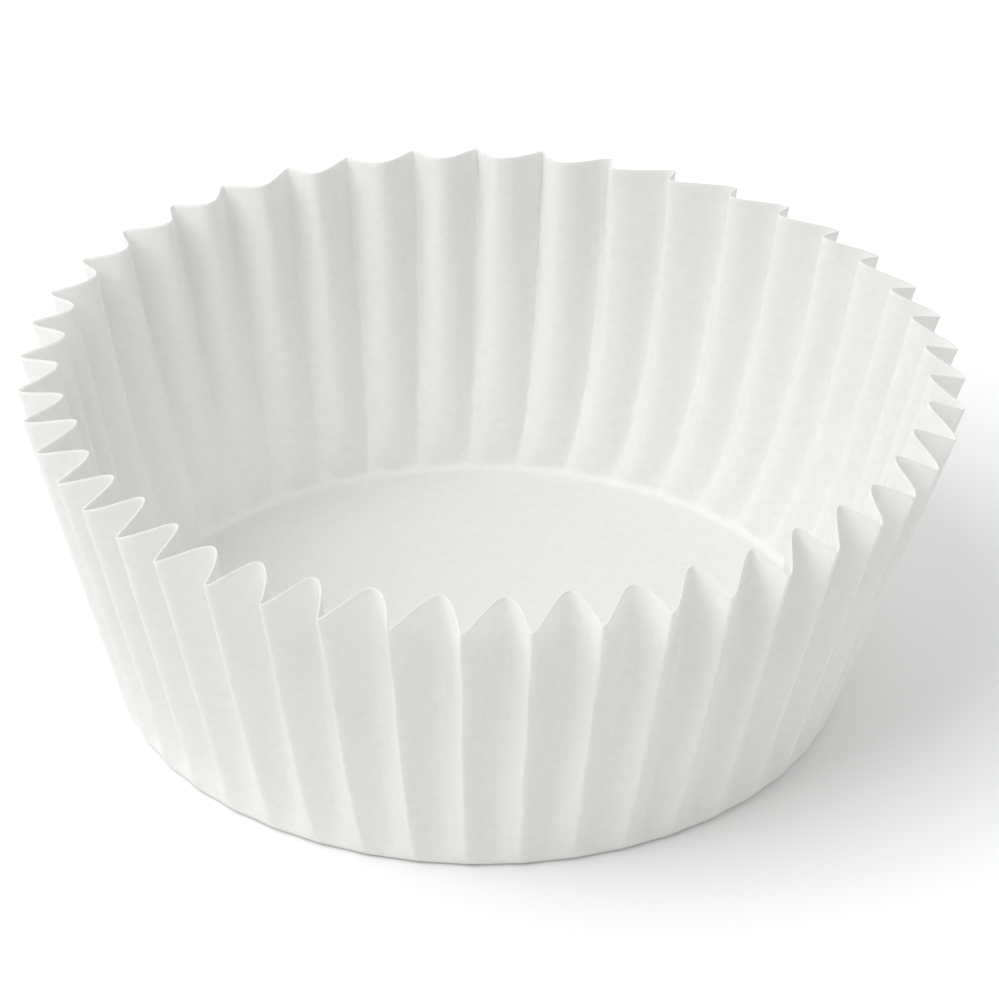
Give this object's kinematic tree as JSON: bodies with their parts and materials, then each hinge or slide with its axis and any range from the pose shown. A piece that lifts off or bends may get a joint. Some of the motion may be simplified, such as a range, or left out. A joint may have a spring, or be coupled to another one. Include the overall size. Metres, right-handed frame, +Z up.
{
  "type": "cupcake liner",
  "caption": "Thin paper baking cup with a flat round floor and a flared, fluted wall that holds batter and a baked cake.",
  "frame": {"origin": "centre of the floor's flat underside, where the liner stands", "axes": "+Z up through the open mouth; +X to the right and +Y away from a viewer at the pictured side"},
  "size_m": [0.0673, 0.065, 0.0248],
  "materials": {
    "paper": "matte"
  },
  "bodies": {
    "root": {"liner": "paper"}
  },
  "joints": []
}
